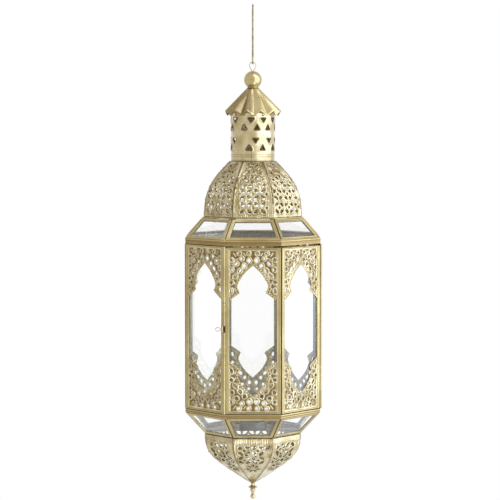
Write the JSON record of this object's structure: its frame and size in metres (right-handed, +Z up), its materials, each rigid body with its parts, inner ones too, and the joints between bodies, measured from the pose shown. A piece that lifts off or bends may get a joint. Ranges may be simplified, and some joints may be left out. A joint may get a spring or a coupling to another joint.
{
  "type": "hanging candle lantern",
  "caption": "Hanging eight-sided candle lantern with glazed and pierced brass sides, a corner-hinged door, dome, chimney, pleated cap, bowl, candle cup and wire hook.",
  "frame": {"origin": "inside top of the S-hook's upper bend, the point that the lantern hangs from", "axes": "+Z up along the lantern's axis, -Y out of the front door side, +X to the right seen from the front"},
  "size_m": [0.2017, 0.2017, 0.7391],
  "materials": {
    "brass_wire": "satin champagne gold wire",
    "brass_turned": "polished champagne gold, faintly worn",
    "brass_sheet": "embossed and pierced satin champagne gold sheet",
    "brass_channel": "folded satin champagne gold channel with darker grooves",
    "dull_brass": "dull unpolished metal",
    "clear_glass": "clear flat glass"
  },
  "bodies": {
    "hook": {"hanging_hook": "brass_wire"},
    "lantern": {"hanger_loop": "brass_wire", "ball_finial": "brass_turned", "pleated_cap": "brass_sheet", "chimney": "brass_sheet", "dome_gore_1": "brass_sheet", "dome_gore_2": "brass_sheet", "dome_gore_3": "brass_sheet", "dome_gore_4": "brass_sheet", "dome_gore_5": "brass_sheet", "dome_gore_6": "brass_sheet", "dome_gore_7": "brass_sheet", "dome_gore_8": "brass_sheet", "shoulder_frame": "brass_channel", "shoulder_glass_1": "clear_glass", "shoulder_glass_2": "clear_glass", "shoulder_glass_3": "clear_glass", "shoulder_glass_4": "clear_glass", "shoulder_glass_5": "clear_glass", "shoulder_glass_6": "clear_glass", "shoulder_glass_7": "clear_glass", "shoulder_glass_8": "clear_glass", "body_frame": "brass_channel", "fret_panel_3": "brass_sheet", "fret_panel_4": "brass_sheet", "fret_panel_5": "brass_sheet", "fret_panel_6": "brass_sheet", "fret_panel_7": "brass_sheet", "fret_panel_8": "brass_sheet", "body_glass_3": "clear_glass", "body_glass_4": "clear_glass", "body_glass_5": "clear_glass", "body_glass_6": "clear_glass", "body_glass_7": "clear_glass", "body_glass_8": "clear_glass", "lower_frame": "brass_channel", "lower_glass_1": "clear_glass", "lower_glass_2": "clear_glass", "lower_glass_3": "clear_glass", "lower_glass_4": "clear_glass", "lower_glass_5": "clear_glass", "lower_glass_6": "clear_glass", "lower_glass_7": "clear_glass", "lower_glass_8": "clear_glass", "bowl": "brass_sheet", "bottom_finial": "brass_turned", "candle_strap": "dull_brass", "candle_cup": "dull_brass", "hinge_pin": "brass_wire"},
    "door": {"door_frame": "brass_channel", "fret_panel_1": "brass_sheet", "fret_panel_2": "brass_sheet", "body_glass_1": "clear_glass", "body_glass_2": "clear_glass"},
    "latch_pull": {"latch_pull": "brass_wire"},
    "latch_upper": {"latch_bolt_upper": "brass_wire"},
    "latch_lower": {"latch_bolt_lower": "brass_wire"}
  },
  "joints": [
    {"name": "lantern_swing", "type": "hinge", "parent": "hook", "child": "lantern", "pos_m": [0, 0, -0.0823], "axis": [1, 0, 0], "range_deg": [-45, 45]},
    {"name": "door_hinge", "type": "hinge", "parent": "lantern", "child": "door", "pos_m": [0.1, -0.04142, -0.4695], "axis": [0, 0, 1], "range_deg": [0, 150]},
    {"name": "latch_pull_slide", "type": "slide", "parent": "door", "child": "latch_pull", "axis": [-1, 0, 0], "range_m": [0, 0.003]},
    {"name": "latch_upper_slide", "type": "slide", "parent": "door", "child": "latch_upper", "axis": [0, 0, -1], "range_m": [0, 0.003]},
    {"name": "latch_lower_slide", "type": "slide", "parent": "door", "child": "latch_lower", "axis": [0, 0, 1], "range_m": [0, 0.003]}
  ],
  "couplings": [
    {"joint": "latch_upper_slide", "follows": "latch_pull_slide", "ratio": 1},
    {"joint": "latch_lower_slide", "follows": "latch_pull_slide", "ratio": 1}
  ]
}
